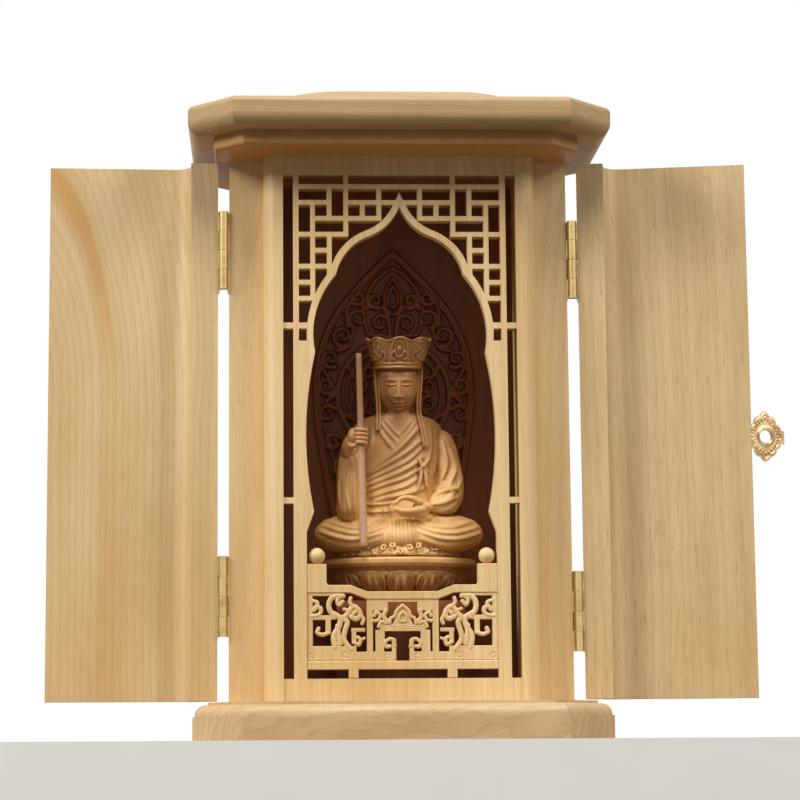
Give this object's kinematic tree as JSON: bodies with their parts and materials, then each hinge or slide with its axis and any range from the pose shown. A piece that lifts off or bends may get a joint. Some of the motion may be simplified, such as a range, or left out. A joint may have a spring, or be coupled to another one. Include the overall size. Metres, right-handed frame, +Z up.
{
  "type": "portable buddhist shrine",
  "caption": "Small table-top wooden cabinet shrine with thick hinged doors, a brass hasp, an arched fretwork screen, and a carved seated figure in its niche.",
  "frame": {"origin": "middle of the underside of the base, on the surface it stands on", "axes": "+Z up, front of the niche towards -Y, +X to the right seen from the front"},
  "size_m": [0.1872, 0.0624, 0.1635],
  "materials": {
    "case_wood": "satin sanded light wood",
    "carved_wood": "satin carved wood",
    "brass": "polished"
  },
  "bodies": {
    "shrine": {"back_panel": "case_wood", "balustrade": "case_wood", "base_plinth": "case_wood", "figure": "carved_wood", "figure_staff": "carved_wood", "fret_screen": "case_wood", "halo_board": "carved_wood", "left_finial": "case_wood", "left_lower_pin": "brass", "left_lower_wall_leaf": "brass", "left_stile": "case_wood", "left_upper_pin": "brass", "left_upper_wall_leaf": "brass", "left_wall": "case_wood", "lotus_seat": "carved_wood", "pedestal": "carved_wood", "right_finial": "case_wood", "right_lower_pin": "brass", "right_lower_wall_leaf": "brass", "right_stile": "case_wood", "right_upper_pin": "brass", "right_upper_wall_leaf": "brass", "right_wall": "case_wood", "roof_cap": "case_wood", "roof_moulding": "case_wood", "roof_slab": "case_wood"},
    "left_door": {"catch_plate": "brass", "left_door_panel": "case_wood", "left_lower_door_leaf": "brass", "left_upper_door_leaf": "brass"},
    "right_door": {"hasp_plate": "brass", "right_door_panel": "case_wood", "right_lower_door_leaf": "brass", "right_upper_door_leaf": "brass"},
    "hasp": {"hasp_leaf": "brass"}
  },
  "joints": [
    {"name": "left_door_hinge", "type": "hinge", "parent": "shrine", "child": "left_door", "pos_m": [-0.044, -0.0076, 0.0788], "axis": [0, 0, 1], "range_deg": [-12.5, 177.5]},
    {"name": "right_door_hinge", "type": "hinge", "parent": "shrine", "child": "right_door", "pos_m": [0.044, -0.0076, 0.0757], "axis": [0, 0, 1], "range_deg": [-170, 20]},
    {"name": "hasp_hinge", "type": "hinge", "parent": "right_door", "child": "hasp", "pos_m": [0.08753, -0.00147, 0.0743], "axis": [0, 0, 1], "range_deg": [-30, 120]}
  ]
}
